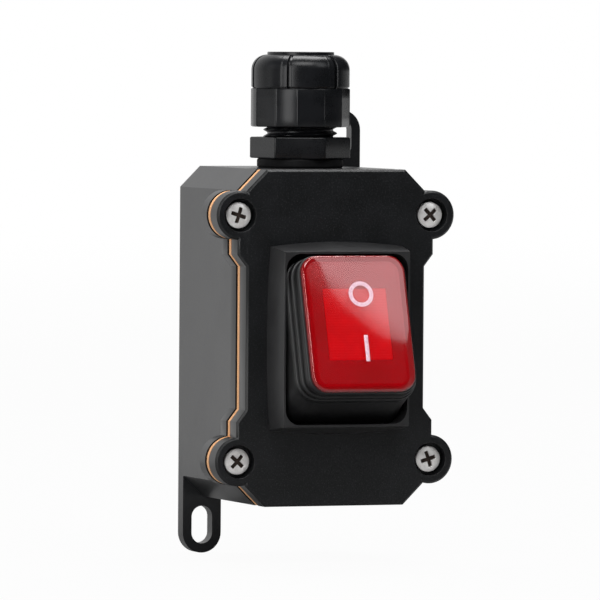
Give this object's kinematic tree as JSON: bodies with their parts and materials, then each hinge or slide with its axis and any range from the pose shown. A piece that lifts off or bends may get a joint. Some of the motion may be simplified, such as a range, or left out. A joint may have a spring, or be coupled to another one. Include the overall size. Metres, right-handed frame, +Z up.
{
  "type": "boat rocker switch",
  "caption": "Waterproof surface box with an illuminated red rocker switch in a sealed rubber boot, slotted wall ears and a cable gland on top.",
  "frame": {"origin": "middle of the box's flat wall face", "axes": "+Z up towards the cable gland, +Y into the wall, +X to the right of a person facing the switch"},
  "size_m": [0.0532, 0.059, 0.1072],
  "materials": {
    "box_plastic": "semi-gloss moulded black",
    "cover_plastic": "fine-grained black face",
    "gasket_rubber": "plain orange",
    "screw_nickel": "bright nickel plate",
    "gland_plastic": "satin moulded black",
    "gland_rubber": "matt black",
    "housing_plastic": "smooth satin black",
    "boot_rubber": "satin black",
    "lens_red": "clear polished red",
    "diffuser_plastic": "cloudy red",
    "lamp_glass": "clear",
    "lead_copper": "bare drawn wire",
    "plunger_brass": "turned",
    "spring_steel": "bright wire",
    "contact_copper": "stamped, with silver contacts",
    "terminal_brass": "tinned"
  },
  "bodies": {
    "box": {"back_box": "box_plastic", "front_cover": "cover_plastic", "cover_gasket": "gasket_rubber", "cover_screws": "screw_nickel", "gland_washer": "gland_rubber", "gland_body": "gland_plastic", "gland_locknut": "gland_plastic", "switch_housing": "housing_plastic", "panel_seal": "boot_rubber", "rocker_boot": "boot_rubber", "common_terminals": "terminal_brass", "load_terminals": "terminal_brass"},
    "rocker": {"rocker_cap": "lens_red", "rocker_carrier": "housing_plastic", "lamp_diffuser": "diffuser_plastic", "indicator_lamp": "lamp_glass", "lamp_leads": "lead_copper", "plungers": "plunger_brass", "plunger_springs": "spring_steel"},
    "contacts": {"contact_bridges": "contact_copper"},
    "gland_seal": {"gland_seal_bush": "gland_rubber"},
    "gland_nut": {"gland_dome_nut": "gland_plastic"}
  },
  "joints": [
    {"name": "rocker_tilt", "type": "hinge", "parent": "box", "child": "rocker", "pos_m": [0, -0.0429, 0], "axis": [1, 0, 0], "range_deg": [0, 35], "deforming": ["rocker_boot"]},
    {"name": "bridge_tilt", "type": "hinge", "parent": "box", "child": "contacts", "pos_m": [0, -0.0283, 0], "axis": [1, 0, 0], "range_deg": [-17.5, 0]},
    {"name": "gland_press", "type": "slide", "parent": "box", "child": "gland_seal", "axis": [0, 0, -1], "range_m": [0, 0.0021]},
    {"name": "gland_turn", "type": "hinge", "parent": "gland_seal", "child": "gland_nut", "pos_m": [0, -0.0193, 0.05], "axis": [0, 0, -1], "range_deg": [0, 540]}
  ],
  "couplings": [
    {"joint": "bridge_tilt", "follows": "rocker_tilt", "ratio": -0.5},
    {"joint": "gland_press", "follows": "gland_turn", "m_per_rad": 0.0002228}
  ]
}
